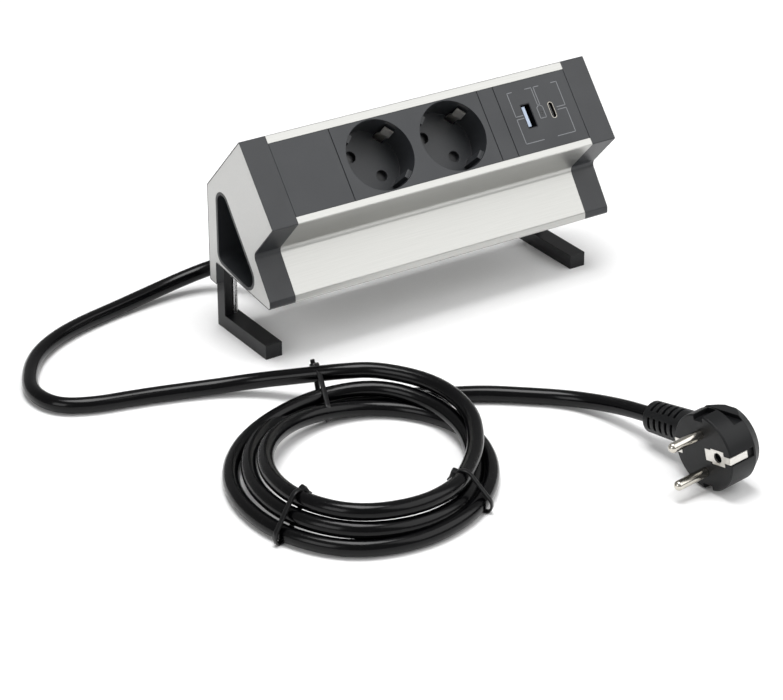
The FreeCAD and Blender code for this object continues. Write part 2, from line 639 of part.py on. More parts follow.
def coil_arcs():
    """Centre, radius, start angle and sweep of the oval ring's four arcs, in the coil's own axes."""
    side_r = COIL_LONG ** 2 + COIL_SHORT ** 2 - 2 * COIL_LONG * COIL_END_R
    side_r /= 2 * (COIL_SHORT - COIL_END_R)
    end_x = COIL_LONG - COIL_END_R
    side_y = side_r - COIL_SHORT
    join = math.degrees(math.atan2(side_y, end_x))
    return [
        (end_x, 0, COIL_END_R, -join, 2 * join),
        (0, -side_y, side_r, join, 180 - 2 * join),
        (-end_x, 0, COIL_END_R, 180 - join, 2 * join),
        (0, side_y, side_r, 180 + join, 180 - 2 * join),
    ]


def coil_section(radius, grow=0.0):
    """Rounded bundle section at a radius from the arc's centre, in the X-Z plane."""
    half = COIL_WIDTH / 2 + grow
    low, high = COIL_BOTTOM - grow, COIL_TOP + grow
    corner = COIL_CORNER + grow
    corners = [(radius - half, low, corner), (radius + half, low, corner),
               (radius + half, high, corner), (radius - half, high, corner)]
    return rounded_face(corners, lambda r, z: Vector(r, 0, z))


def to_coil(shape):
    shape.rotate(Vector(0, 0, 0), Vector(0, 0, 1), COIL_WAY)
    shape.translate(COIL_CENTRE)
    return shape


def cord_coil():
    """Outer shape of the tied coil: the bundle section turned round the oval."""
    pieces = []
    for x, y, radius, start, sweep in coil_arcs():
        piece = coil_section(radius).revolve(Vector(0, 0, 0), Vector(0, 0, 1), sweep)
        piece.rotate(Vector(0, 0, 0), Vector(0, 0, 1), start)
        piece.translate(Vector(x, y, 0))
        pieces.append(piece)
    return to_coil(pieces[0].fuse(pieces[1:]).removeSplitter())


def cord_tie(angle):
    """Tie round the coil's bundle at an angle of the oval, with a small head on its outer side."""
    x, y, radius, start, _ = [arc for arc in coil_arcs() if 0 <= (angle - arc[3]) % 360 <= arc[4]][0]
    loop = coil_section(radius, TIE_THICK).cut(coil_section(radius, 0.05)).extrude(Vector(0, TIE_WIDTH, 0))
    head = box(radius + COIL_WIDTH / 2, radius + COIL_WIDTH / 2 + 3.4, -0.8, TIE_WIDTH + 0.8, 10, 15)
    tie = loop.fuse(head)
    tie.rotate(Vector(0, 0, 0), Vector(0, 0, 1), angle)
    tie.translate(Vector(x, y, 0))
    return to_coil(tie)


# plug

def plug_placement():
    """Plug frame: X along the pin line, Y towards the cord, Z out of the face."""
    x_axis = (PLUG_UP - PLUG_WAY * PLUG_UP.dot(PLUG_WAY)).normalize()
    y_axis = PLUG_WAY.cross(x_axis)
    return FreeCAD.Placement(FreeCAD.Matrix(
        x_axis.x, y_axis.x, PLUG_WAY.x, PLUG_FACE.x,
        x_axis.y, y_axis.y, PLUG_WAY.y, PLUG_FACE.y,
        x_axis.z, y_axis.z, PLUG_WAY.z, PLUG_FACE.z,
        0, 0, 0, 1))


def route_in():
    """Coil to plug: the last run leaves the plug's relief squarely."""
    relief = Vector(PLUG_CORD_RISE, RELIEF_END, -PLUG_CORD_DEPTH)
    ends = [plug_placement().multVec(relief + Vector(0, reach, 0)) for reach in (15.0, 0.0)]
    return ROUTE_IN_START + ends


def relief_slot(y, start, sweep):
    """Slot across the relief: a ring sector, with angles in degrees from the pin line towards the face."""
    centre = Vector(PLUG_CORD_RISE, y, -PLUG_CORD_DEPTH)
    way = Vector(0, 1, 0)
    sector = Part.makeCylinder(RELIEF_R + 2, SLOT_WIDTH, centre, way, sweep)
    ring = sector.cut(Part.makeCylinder(RELIEF_R - SLOT_DEPTH, SLOT_WIDTH, centre, way))
    ring.rotate(centre, way, -90 - start)
    return ring


def plug_relief():
    """Neck and relief at a right angle to the pins, with four rows of slots and a bevelled tip."""
    axis = Vector(0, 1, 0)
    neck = Part.makeCone(9.4, RELIEF_R, RELIEF_START, Vector(PLUG_CORD_RISE, 0, -PLUG_CORD_DEPTH), axis)
    sleeve_length = RELIEF_END - RELIEF_START - RELIEF_TIP
    sleeve_start = Vector(PLUG_CORD_RISE, RELIEF_START, -PLUG_CORD_DEPTH)
    sleeve = Part.makeCone(RELIEF_R, RELIEF_TIP_R, sleeve_length, sleeve_start, axis)
    tip_start = Vector(PLUG_CORD_RISE, RELIEF_END - RELIEF_TIP, -PLUG_CORD_DEPTH)
    tip = Part.makeCone(RELIEF_TIP_R, RELIEF_TIP_R - 1.8, RELIEF_TIP, tip_start, axis)
    relief = neck.fuse([sleeve, tip]).removeSplitter()
    for i in range(SLOT_COUNT):
        y = RELIEF_START + 1.6 + i * SLOT_PITCH
        for start, sweep in SLOT_ROWS:
            for half_turn in (0, 180):
                relief = relief.cut(relief_slot(y, start + half_turn, sweep))
    return relief


def plug_body():
    """Moulded body: round face with key grooves, a hollow and a straight grip ridge, and the relief."""
    bevel = Part.makeCone(PLUG_FACE_R - 0.6, PLUG_FACE_R, 0.6, Vector(0, 0, 0), Vector(0, 0, -1))
    rim = Part.makeCylinder(PLUG_FACE_R, PLUG_RIM - 0.6, Vector(0, 0, -PLUG_RIM))
    back = Part.makeCone(PLUG_BACK_R, PLUG_FACE_R, PLUG_DEPTH - PLUG_RIM, Vector(0, 0, -PLUG_DEPTH))
    body = rim.fuse([bevel, back])
    body = body.cut(box(GRIP_VALLEY, 20, -20, 20, -GRIP_END, -GRIP_START))
    body = body.cut(box(GRIP_RIDGE, 20, -20, 20, -PLUG_DEPTH - 1, -GRIP_END))
    for side in (-1, 1):
        body = body.cut(box(side * 17.8 - 1.8, side * 17.8 + 1.8, -3.0, 3.0, -9, 1))
    body = body.fuse(plug_relief())
    for side in (-1, 1):
        body = body.cut(box(-2.3, 2.3, side * 18.6 - 0.8, side * 18.6 + 0.8, -14.0, 1))
    body = body.cut(rod(EARTH_HOLE_R, Vector(0, EARTH_HOLE_Y, -10), Vector(0, EARTH_HOLE_Y, 1)))
    return body.cut(plug_earth_contact())


def plug_pins():
    """Two solid contact pins with domed tips."""
    pins = []
    for side in (-1, 1):
        x = side * PIN_SPACING / 2
        pin = rod(PIN_R, Vector(x, 0, 0), Vector(x, 0, PIN_LENGTH - PIN_R))
        pins.append(pin.fuse(Part.makeSphere(PIN_R, Vector(x, 0, PIN_LENGTH - PIN_R))).removeSplitter())
    return Part.makeCompound(pins)


def plug_earth_contact():
    """Stamped earth contact: stepped plate round the pin hole, strips over both sides, strap under them."""
    plate = box(-2.9, 2.9, -8.0, -1.8, -0.9, 0.12)
    parts = [
        box(-3.8, 3.8, -14.2, -5.8, -0.9, 0.12),
        box(-1.7, 1.7, -18.4, -14.0, -0.9, 0.12),
        box(-1.7, 1.7, -18.4, -17.8, -10.5, 0.12),
        box(-3.6, 3.6, 14.6, 18.4, -0.9, 0.12),
        box(-1.7, 1.7, 17.8, 18.4, -10.5, 0.12),
        box(-1.5, 1.5, -2.6, 15.4, -3.2, -2.4),
        box(-1.5, 1.5, -2.6, -1.8, -3.0, -0.5),
        box(-1.5, 1.5, 14.6, 15.4, -3.0, -0.5),
    ]
    hole = rod(EARTH_HOLE_R, Vector(0, EARTH_HOLE_Y, -1.5), Vector(0, EARTH_HOLE_Y, 1))
    return plate.fuse(parts).cut(hole).removeSplitter()


def placed_plug(shape):
    placed = shape.copy()
    placed.Placement = plug_placement().multiply(placed.Placement)
    return placed


def build():
    """Every node of the power strip, by name."""
    cap, plate = end_cap(), side_plate()
    arm, screw, insert = clamp_arm(), clamp_screw(), clamp_insert()
    nodes = {
        "housing_profile": housing_profile(),
        "end_cap_left": cap,
        "end_cap_right": mirrored(cap),
        "side_plate_left": plate,
        "side_plate_right": mirrored(plate),
        "end_cap_screws": end_cap_screws(),
        "blank_cover": on_panel(module_shell(-INNER_HALF, BLANK_END)),
        "socket_insert": on_panel(socket_insert()),
        "spacer_cover": on_panel(module_shell(SOCKETS_END, SPACER_END)),
        "usb_module": on_panel(usb_module()),
        "contact_carrier": on_panel(contact_carrier()),
        "earth_strip": on_panel(earth_strip()),
        "live_bus_bar": on_panel(bus_bar(-1)),
        "neutral_bus_bar": on_panel(bus_bar(1)),
        "usb_a_shell": on_panel(usb_a_shell()),
        "usb_a_tongue": on_panel(usb_a_tongue()),
        "usb_c_shell": on_panel(usb_c_shell()),
        "usb_c_tongue": on_panel(usb_c_tongue()),
        "status_light_pipe": on_panel(light_pipe()),
        "charger_board": on_panel(charger_board()),
        "charger_transformer": on_panel(charger_transformer()),
        "charger_capacitors": on_panel(charger_capacitor()),
        "terminal_block": on_panel(terminal_block()),
        "inner_wires": inner_wires(),
        "clamp_arm_left": arm,
        "clamp_arm_right": mirrored(arm),
        "clamp_screw_left": screw,
        "clamp_screw_right": mirrored(screw),
        "clamp_insert_left": insert,
        "clamp_insert_right": mirrored(insert),
        "cord_outlet_relief": outlet_relief(),
        "cord_to_coil": cord_tube("cord_to_coil", ROUTE_OUT),
        "cord_coil": cord_coil(),
        "cord_to_plug": cord_tube("cord_to_plug", route_in()),
        "plug_body": placed_plug(plug_body()),
        "plug_pins": placed_plug(plug_pins()),
        "plug_earth_contact": placed_plug(plug_earth_contact()),
    }
    for number, x in enumerate(SOCKET_X, 1):
        nodes["shutter_%d" % number] = on_panel(shutter(x))
        nodes["shutter_spring_%d" % number] = on_panel(shutter_spring(x))
    for number, angle in enumerate(TIE_ANGLES, 1):
        nodes["cord_tie_%d" % number] = cord_tie(angle)
    return nodes


os.makedirs("parts", exist_ok=True)
for node, shape in build().items():
    shape.exportStep("parts/%s.step" % node)
    bounds = shape.BoundBox
    print("%-22s solids %d valid %s  x %.1f..%.1f  y %.1f..%.1f  z %.1f..%.1f" % (
        node, len(shape.Solids), shape.isValid(), bounds.XMin, bounds.XMax,
        bounds.YMin, bounds.YMax, bounds.ZMin, bounds.ZMax))
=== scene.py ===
"""Looks of a desk power strip with clamps, a coiled mains cord and an angled earthed plug."""

import json
import math

import bmesh
import bpy
import numpy as np
from mathutils import Matrix, Vector


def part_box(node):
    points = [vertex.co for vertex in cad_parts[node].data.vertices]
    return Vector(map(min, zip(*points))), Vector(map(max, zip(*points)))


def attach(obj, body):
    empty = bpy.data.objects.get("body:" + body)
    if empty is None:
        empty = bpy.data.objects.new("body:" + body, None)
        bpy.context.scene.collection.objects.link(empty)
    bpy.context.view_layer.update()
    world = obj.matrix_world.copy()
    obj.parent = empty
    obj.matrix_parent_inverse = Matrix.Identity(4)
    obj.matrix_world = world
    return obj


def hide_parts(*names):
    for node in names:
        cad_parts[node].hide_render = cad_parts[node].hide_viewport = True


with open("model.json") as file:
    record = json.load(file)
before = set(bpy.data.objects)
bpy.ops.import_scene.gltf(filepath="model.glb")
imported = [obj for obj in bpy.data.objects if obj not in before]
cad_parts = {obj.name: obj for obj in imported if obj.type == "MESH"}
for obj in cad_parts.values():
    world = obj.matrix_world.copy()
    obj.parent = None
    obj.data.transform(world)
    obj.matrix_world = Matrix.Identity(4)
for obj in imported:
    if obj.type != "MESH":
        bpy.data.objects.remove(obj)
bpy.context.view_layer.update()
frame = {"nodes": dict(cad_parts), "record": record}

MM = 0.001
SHARP_EDGE = math.radians(35)
NODES = frame["nodes"]
MOUNTS = {mount["name"]: mount for mount in frame["record"]["mounts"]}


# node and mesh helpers

def linear(code):
    """sRGB hex to linear colour with alpha."""
    channels = [int(code[i:i + 2], 16) / 255 for i in (0, 2, 4)]
    return [c / 12.92 if c <= 0.04045 else ((c + 0.055) / 1.055) ** 2.4 for c in channels] + [1.0]


def add_node(tree, kind, sockets=None, **settings):
    """Adds a node. settings are its properties, sockets its inputs: each a value, or an output to link."""
    node = tree.nodes.new(kind)
    for name, value in settings.items():
        setattr(node, name, value)
    for name, value in (sockets or {}).items():
        if isinstance(value, bpy.types.NodeSocket):
            tree.links.new(value, node.inputs[name])
        else:
            node.inputs[name].default_value = value
    return node


def blank_material(name):
    material = bpy.data.materials.new(name)
    material.use_nodes = True
    material.node_tree.nodes.clear()
    return material, material.node_tree


def surface(points, wrap_rows=False, wrap_cols=False, cap_start=False, cap_end=False):
    """(vertices, faces) of a grid of points, rows by columns, with optional wrapping and flat end caps."""
    rows, cols, _ = points.shape
    index = np.arange(rows * cols).reshape(rows, cols)
    wide = np.concatenate([index, index[:, :1]], 1) if wrap_cols else index
    wide = np.concatenate([wide, wide[:1]], 0) if wrap_rows else wide
    quads = np.stack([wide[:-1, :-1], wide[:-1, 1:], wide[1:, 1:], wide[1:, :-1]], -1).reshape(-1, 4)
    faces = quads.tolist()
    if cap_start:
        faces.append(index[0][::-1].tolist())
    if cap_end:
        faces.append(index[-1].tolist())
    return points.reshape(-1, 3), faces


def new_piece(name, parts, material, replaces=()):
    """One mesh object of several (vertices, faces) parts in metres, riding on the housing."""
    vertices = np.concatenate([part[0] for part in parts])
    starts = np.cumsum([0] + [len(part[0]) for part in parts])
    faces = [[i + start for i in face] for part, start in zip(parts, starts) for face in part[1]]
    mesh = bpy.data.meshes.new(name)
    mesh.from_pydata(vertices.tolist(), [], faces)
    shell = bmesh.new()
    shell.from_mesh(mesh)
    bmesh.ops.recalc_face_normals(shell, faces=shell.faces)
    shell.to_mesh(mesh)
    shell.free()
    mesh.materials.append(material)
    mesh.shade_smooth()
    mesh.set_sharp_from_angle(angle=SHARP_EDGE)
    piece = bpy.data.objects.new(name, mesh)
    bpy.context.scene.collection.objects.link(piece)
    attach(piece, "housing")
    if replaces:
        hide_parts(*replaces)
    return piece


def finish_node(name, material):
    """Gives a node of the frame its material."""
    slots = NODES[name].data.materials
    slots.clear()
    slots.append(material)


# materials

def brushed_anodised_aluminium(name, light, dark, rough, grain_mm, length_mm, depth):
    """Extruded aluminium, brushed along X and clear anodised: long fine streaks in tone and gloss."""
    material, tree = blank_material(name)
    place = add_node(tree, "ShaderNodeTexCoord").outputs["Object"]
    stretch = (1 / (length_mm * MM), 1 / (grain_mm * MM), 1 / (grain_mm * MM))
    along = add_node(tree, "ShaderNodeMapping", {"Vector": place, "Scale": stretch}).outputs[0]
    streak = add_node(tree, "ShaderNodeTexNoise", {"Vector": along, "Scale": 1.0, "Detail": 4.0}).outputs[0]
    tone = add_node(tree, "ShaderNodeMix", {0: streak, 6: linear(dark), 7: linear(light)}, data_type="RGBA")
    gloss = add_node(tree, "ShaderNodeMapRange", {"Value": streak, "To Min": rough - 0.07,
                                                  "To Max": rough + 0.09})
    edge = add_node(tree, "ShaderNodeBevel", {"Radius": 0.25 * MM}, samples=4).outputs[0]
    bump = add_node(tree, "ShaderNodeBump", {"Strength": depth, "Distance": 0.05 * MM, "Height": streak,
                                             "Normal": edge})
    shader = add_node(tree, "ShaderNodeBsdfPrincipled", {
        "Base Color": tone.outputs[2], "Metallic": 1.0, "Roughness": gloss.outputs[0],
        "Normal": bump.outputs[0]})
    add_node(tree, "ShaderNodeOutputMaterial", {"Surface": shader.outputs[0]})
    return material


def textured_plastic(name, light, dark, rough, grit_mm, depth, ior=1.52, edge_mm=0.35, shine=0.5):
    """Moulded plastic from a spark-eroded tool: a fine even grit that softens the gloss."""
    material, tree = blank_material(name)
    place = add_node(tree, "ShaderNodeTexCoord").outputs["Object"]
    grit = add_node(tree, "ShaderNodeTexNoise", {"Vector": place, "Scale": 1 / (grit_mm * MM),
                                                 "Detail": 3.0})
    cloud = add_node(tree, "ShaderNodeTexNoise", {"Vector": place, "Scale": 1 / (22 * MM), "Detail": 2.0})
    tone = add_node(tree, "ShaderNodeMix", {0: grit.outputs[0], 6: linear(dark), 7: linear(light)},
                    data_type="RGBA")
    gloss = add_node(tree, "ShaderNodeMapRange", {
        "Value": cloud.outputs[0], "From Min": 0.3, "From Max": 0.7, "To Min": rough - 0.04,
        "To Max": rough + 0.05})
    edge = add_node(tree, "ShaderNodeBevel", {"Radius": edge_mm * MM}, samples=4).outputs[0]
    bump = add_node(tree, "ShaderNodeBump", {"Strength": depth, "Distance": 0.12 * MM,
                                             "Height": grit.outputs[0], "Normal": edge})
    shader = add_node(tree, "ShaderNodeBsdfPrincipled", {
        "Base Color": tone.outputs[2], "Roughness": gloss.outputs[0], "IOR": ior,
        "Specular IOR Level": shine, "Normal": bump.outputs[0]})
    add_node(tree, "ShaderNodeOutputMaterial", {"Surface": shader.outputs[0]})
    return material


def plated_metal(name, light, dark, rough, wear_mm, edge_mm=0.12):
    """Plated contact metal: bright, with faint cloudy patches and fine handling marks."""
    material, tree = blank_material(name)
    place = add_node(tree, "ShaderNodeTexCoord").outputs["Object"]
    cloud = add_node(tree, "ShaderNodeTexNoise", {"Vector": place, "Scale": 1 / (wear_mm * MM),
                                                  "Detail": 5.0})
    tone = add_node(tree, "ShaderNodeMix", {0: cloud.outputs[0], 6: linear(dark), 7: linear(light)},
                    data_type="RGBA")
    gloss = add_node(tree, "ShaderNodeMapRange", {"Value": cloud.outputs[0], "To Min": rough * 0.6,
                                                  "To Max": rough * 1.5})
    edge = add_node(tree, "ShaderNodeBevel", {"Radius": edge_mm * MM}, samples=4).outputs[0]
    bump = add_node(tree, "ShaderNodeBump", {"Strength": 0.12, "Distance": 0.03 * MM,
                                             "Height": cloud.outputs[0], "Normal": edge})
    shader = add_node(tree, "ShaderNodeBsdfPrincipled", {
        "Base Color": tone.outputs[2], "Metallic": 1.0, "Roughness": gloss.outputs[0],
        "Normal": bump.outputs[0]})
    add_node(tree, "ShaderNodeOutputMaterial", {"Surface": shader.outputs[0]})
    return material


def extruded_pvc_sheath(name, light, dark, rough, wave_mm):
    """Extruded PVC cord sheath: glossy black, slightly wavy from the cores inside, with dull scuffs."""
    material, tree = blank_material(name)
    place = add_node(tree, "ShaderNodeTexCoord").outputs["Object"]
    wave = add_node(tree, "ShaderNodeTexNoise", {"Vector": place, "Scale": 1 / (wave_mm * MM),
                                                 "Detail": 2.0})
    scuff = add_node(tree, "ShaderNodeTexNoise", {"Vector": place, "Scale": 1 / (1.1 * MM), "Detail": 6.0})
    patch = add_node(tree, "ShaderNodeMapRange", {"Value": scuff.outputs[0], "From Min": 0.56,
                                                  "From Max": 0.74}).outputs[0]
    tone = add_node(tree, "ShaderNodeMix", {0: patch, 6: linear(dark), 7: linear(light)}, data_type="RGBA")
    gloss = add_node(tree, "ShaderNodeMapRange", {"Value": patch, "To Min": rough, "To Max": rough + 0.10})
    bump = add_node(tree, "ShaderNodeBump", {"Strength": 0.22, "Distance": 0.5 * MM,
                                             "Height": wave.outputs[0]})
    fine = add_node(tree, "ShaderNodeBump", {"Strength": 0.03, "Distance": 0.05 * MM,
                                             "Height": scuff.outputs[0], "Normal": bump.outputs[0]})
    shader = add_node(tree, "ShaderNodeBsdfPrincipled", {
        "Base Color": tone.outputs[2], "Roughness": gloss.outputs[0], "IOR": 1.53,
        "Specular IOR Level": 0.2, "Normal": fine.outputs[0]})
    add_node(tree, "ShaderNodeOutputMaterial", {"Surface": shader.outputs[0]})
    return material


# name, light and dark tone, roughness, width and length of the brush streaks in mm, depth of the bump
profile_aluminium = brushed_anodised_aluminium("brushed_anodised_aluminium", "c0c0bd", "a8a8a5", 0.38,
                                               0.30, 26, 0.35)
plate_aluminium = brushed_anodised_aluminium("satin_anodised_plate", "cfcfcc", "bababa", 0.46,
                                             0.55, 2.2, 0.10)
# name, light and dark tone, roughness, grit size in mm, depth of the bump
cap_abs = textured_plastic("spark_eroded_abs_anthracite", "26282b", "1c1e21", 0.42, 0.45, 0.30)
module_pc = textured_plastic("fine_textured_pc_anthracite", "2a2c2f", "212326", 0.46, 0.35, 0.20,
                             edge_mm=0.5)
shutter_pa = textured_plastic("satin_black_polyamide", "1b1c1e", "131416", 0.35, 0.4, 0.08)
arm_coat = textured_plastic("satin_black_powder_coat_on_steel", "0d0e11", "07080a", 0.34, 0.6, 0.16,
                            edge_mm=0.5, shine=0.3)
plug_pvc = textured_plastic("textured_pvc_plug", "0f1012", "070809", 0.44, 0.55, 0.35,
                            edge_mm=0.5, shine=0.26)
relief_pvc = textured_plastic("soft_pvc_strain_relief", "17181b", "0d0e10", 0.46, 0.5, 0.25, edge_mm=0.3)
tie_nylon = textured_plastic("satin_black_nylon_tie", "08080a", "040405", 0.30, 0.8, 0.05,
                             edge_mm=0.2, shine=0.35)
white_pa = textured_plastic("white_glass_filled_polyamide", "d8d5cb", "c8c5ba", 0.42, 0.5, 0.12)
usb_black = textured_plastic("moulded_lcp_black", "222326", "17181a", 0.40, 0.3, 0.08, edge_mm=0.1)
usb_tongue = textured_plastic("moulded_pale_blue_lcp", "a9b6c9", "98a6ba", 0.35, 0.3, 0.06, edge_mm=0.1)
light_pc = textured_plastic("smoked_clear_pc_light_pipe", "0c0d0f", "060708", 0.12, 0.4, 0.02,
                            ior=1.58, edge_mm=0.1)
board_fr4 = textured_plastic("green_solder_mask_on_fr4", "1d5a33", "154726", 0.25, 1.2, 0.06)
coil_tape = textured_plastic("yellow_transformer_tape", "c89a2e", "b2862a", 0.35, 0.9, 0.06)
can_sleeve = textured_plastic("shrunk_pvc_capacitor_sleeve", "23262e", "181a20", 0.25, 1.0, 0.04)
core_pvc = textured_plastic("brown_pvc_core_insulation", "6b3a20", "573018", 0.35, 0.8, 0.06)
print_ink = textured_plastic("pad_printed_grey_ink", "77797c", "696b6e", 0.55, 0.2, 0.05, edge_mm=0.02)
# name, light and dark tone, roughness, length of the waves in mm
cord_pvc = extruded_pvc_sheath("extruded_black_pvc", "070709", "020203", 0.19, 12.0)
# name, light and dark tone, roughness, size of the cloudy patches in mm
pin_nickel = plated_metal("nickel_plated_brass_pin", "d6d2c9", "b9b4aa", 0.16, 3.0, 0.3)
clip_nickel = plated_metal("nickel_plated_spring_clip", "ebe9e4", "cfccc6", 0.36, 1.5)
usb_steel = plated_metal("drawn_stainless_shell", "b4b0a8", "98948c", 0.30, 1.0, 0.08)
# USB-A shell: the same plated steel as the USB-C shell, with its tone darkened as painted shade from the
# dark port around it
usb_a_shell_painted_shade = plated_metal("shell_steel_painted_shade", "3a3a3c", "262628", 0.32, 1.0, 0.08)
screw_zinc = plated_metal("zinc_plated_threaded_rod", "cfcfcf", "aeaeb0", 0.26, 1.2)
bare_brass = plated_metal("bare_stamped_brass", "d8b060", "bd954a", 0.28, 1.8)

CAD_FINISHES = {
    profile_aluminium: ["housing_profile"],
    plate_aluminium: ["side_plate_left", "side_plate_right"],
    cap_abs: ["end_cap_left", "end_cap_right"],
    module_pc: ["blank_cover", "socket_insert", "spacer_cover", "usb_module"],
    shutter_pa: ["shutter_1", "shutter_2"],
    usb_black: ["usb_c_tongue"],
    usb_steel: ["usb_c_shell"],
    usb_a_shell_painted_shade: ["usb_a_shell"],
    usb_tongue: ["usb_a_tongue"],
    light_pc: ["status_light_pipe"],
    arm_coat: ["clamp_arm_left", "clamp_arm_right"],
    screw_zinc: ["clamp_screw_left", "clamp_screw_right", "end_cap_screws"],
    bare_brass: ["clamp_insert_left", "clamp_insert_right", "live_bus_bar", "neutral_bus_bar"],
    clip_nickel: ["earth_strip", "shutter_spring_1", "shutter_spring_2", "plug_earth_contact"],
    white_pa: ["contact_carrier", "terminal_block"],
    board_fr4: ["charger_board"],
    coil_tape: ["charger_transformer"],
    can_sleeve: ["charger_capacitors"],
    core_pvc: ["inner_wires"],
    pin_nickel: ["plug_pins"],
    plug_pvc: ["plug_body"],
}
for finish, names in CAD_FINISHES.items():
    for node_name in names:
        finish_node(node_name, finish)


# mains cord: the route's points in mm, laid in metres as a quadratic NURBS curve with the coil's turns
# between the lead-in and the lead-out

CORD_R = 4.0
FLOOR = CORD_R + 0.25
OUTLET = np.array([-58.0, 33.5, 51.0])
OUTLET_WAY = np.array([-0.275, 0.58, -0.767])
OUTLET_WAY /= np.linalg.norm(OUTLET_WAY)
OUTLET_LENGTH = 26.2
END_STRAIGHT = 15.0
LEAD_IN = [
    OUTLET + OUTLET_WAY * OUTLET_LENGTH,
    OUTLET + OUTLET_WAY * (OUTLET_LENGTH + END_STRAIGHT),
    (-83.5, 69.6, 12.6),
    (-101.8, 72.6, 8.4),
    (-121.5, 71.4, 5.8),
    (-142.0, 68.4, FLOOR),
    (-162.0, 63.6, FLOOR + 0.1),
    (-180.5, 56.6, FLOOR),
    (-197.5, 44.6, FLOOR + 0.1),
    (-209.5, 28.5, FLOOR),
    (-217.0, 10.5, FLOOR + 0.1),
    (-213.0, -7.5, FLOOR),
    (-197.5, -16.6, FLOOR + 0.1),
    (-177.0, -21.0, FLOOR),
    (-157.0, -27.0, FLOOR + 0.1),
    (-138.5, -33.8, 4.8),
    (-121.0, -44.0, 7.6),
    (-107.0, -59.5, 12.8),
    (-93.0, -73.0, 17.2),
]
LEAD_OUT = [
    (-61.5, -94.0, FLOOR),
    (-49.0, -102.0, FLOOR),
    (-33.5, -110.2, FLOOR + 0.1),
    (-18.5, -122.2, FLOOR),
    (-2.5, -136.3, FLOOR + 0.1),
    (6.0, -152.0, 6.4),
]
COIL_CENTRE = np.array([-119.5, -139.0])
COIL_LONG_WAY = np.array([0.611, 0.792])
COIL_SHORT_WAY = np.array([0.792, -0.611])
# turn angle in degrees from the far end, clockwise from above; distance from the coil's middle; height
COIL_STATIONS = np.array([
    (0, 70.3, 18.3), (35, 64.5, 17.4), (65, 55.5, 14.2), (90, 49.3, 12.6), (135, 56.8, 15.5),
    (180, 66.2, 18.2), (225, 53.5, 15.5), (270, 46.8, 12.6), (315, 50.0, 8.5), (360, 58.1, 4.3),
    (405, 60.0, 4.3), (450, 58.6, 4.3), (495, 65.5, 4.3), (540, 74.4, 4.3), (585, 67.6, 4.3),
    (630, 63.8, 4.3), (675, 62.2, 7.5), (720, 65.4, 11.6), (765, 57.0, 8.5), (810, 50.4, 4.3),
    (855, 60.0, 7.5), (900, 70.2, 11.25), (945, 60.3, 9.9), (990, 54.9, 8.0), (1035, 62.0, 5.0),
    (1075, 72.6, 4.3),
])
TURN_POINTS = 14
LAST_TURN = 1070


def coil_points(turn_deg):
    """Centre line of the coil in mm: at a turn angle t the distance r(t) and height z(t) follow the stations
    smoothly, and the point is centre + r cos t along the long axis + r sin t along the short one."""
    angles, reach, height = COIL_STATIONS.T
    r = smooth_between(turn_deg, angles, reach)
    z = smooth_between(turn_deg, angles, height)
    t = np.radians(turn_deg)
    flat = COIL_CENTRE + np.outer(r * np.cos(t), COIL_LONG_WAY) + np.outer(r * np.sin(t), COIL_SHORT_WAY)
    return np.column_stack([flat, z])


def smooth_between(x, knots, values):
    """Cubic Hermite curve through the knots with slopes from their neighbours."""
    slopes = np.gradient(values, knots)
    i = np.clip(np.searchsorted(knots, x, side="right") - 1, 0, len(knots) - 2)
    span = knots[i + 1] - knots[i]
    u = (x - knots[i]) / span
    return ((2 * u ** 3 - 3 * u ** 2 + 1) * values[i] + (u ** 3 - 2 * u ** 2 + u) * span * slopes[i]
            + (3 * u ** 2 - 2 * u ** 3) * values[i + 1] + (u ** 3 - u ** 2) * span * slopes[i + 1])


# plug frame, from the pins' mounts: X along the pin line, Y towards the cord, Z out of the face
PIN_WAY = np.array(MOUNTS["plug_pin_live"]["axis"], float)
PIN_A = np.array(MOUNTS["plug_pin_live"]["pos_m"], float)
PIN_B = np.array(MOUNTS["plug_pin_neutral"]["pos_m"], float)
PIN_LINE = (PIN_B - PIN_A) / np.linalg.norm(PIN_B - PIN_A)
PLUG_AXES = np.array([PIN_LINE, np.cross(PIN_WAY, PIN_LINE), PIN_WAY])
PLUG_FACE = (PIN_A + PIN_B) / 2 - PIN_WAY * MOUNTS["plug_pin_live"]["dims"]["length_mm"] / 2 * MM
PLUG_CORD_RISE, PLUG_CORD_DEPTH, RELIEF_END = 2.5, 12.0, 48.0


def in_plug(points_mm):
    """Takes points in the plug's frame, in mm, to the model's frame, in metres."""
    return PLUG_FACE + np.asarray(points_mm, float) @ PLUG_AXES * MM


def mains_cord():
    """NURBS curve through the lead-in, three tied turns and the lead-out, with the sheath's radius."""
    turns = np.arange(0, LAST_TURN, 360 / TURN_POINTS)
    reaches = (RELIEF_END + END_STRAIGHT, RELIEF_END)
    plug_end = [in_plug((PLUG_CORD_RISE, reach, -PLUG_CORD_DEPTH)) / MM for reach in reaches]
    route = np.vstack([LEAD_IN, coil_points(turns), LEAD_OUT, plug_end]) * MM
    curve = bpy.data.curves.new("mains_cord", "CURVE")
    curve.dimensions = "3D"
    spline = curve.splines.new("NURBS")
    spline.points.add(len(route) - 1)
    spline.points.foreach_set("co", np.column_stack([route, np.ones(len(route))]).ravel())
    spline.order_u = 3
    spline.use_endpoint_u = True
    spline.resolution_u = 6
    curve.bevel_depth = CORD_R * MM
    curve.bevel_resolution = 6
    curve.use_fill_caps = True
    curve.materials.append(cord_pvc)
    cord = bpy.data.objects.new("mains_cord", curve)
    bpy.context.scene.collection.objects.link(cord)
    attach(cord, "housing")
    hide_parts("cord_to_coil", "cord_coil", "cord_to_plug")
    return cord


# ties

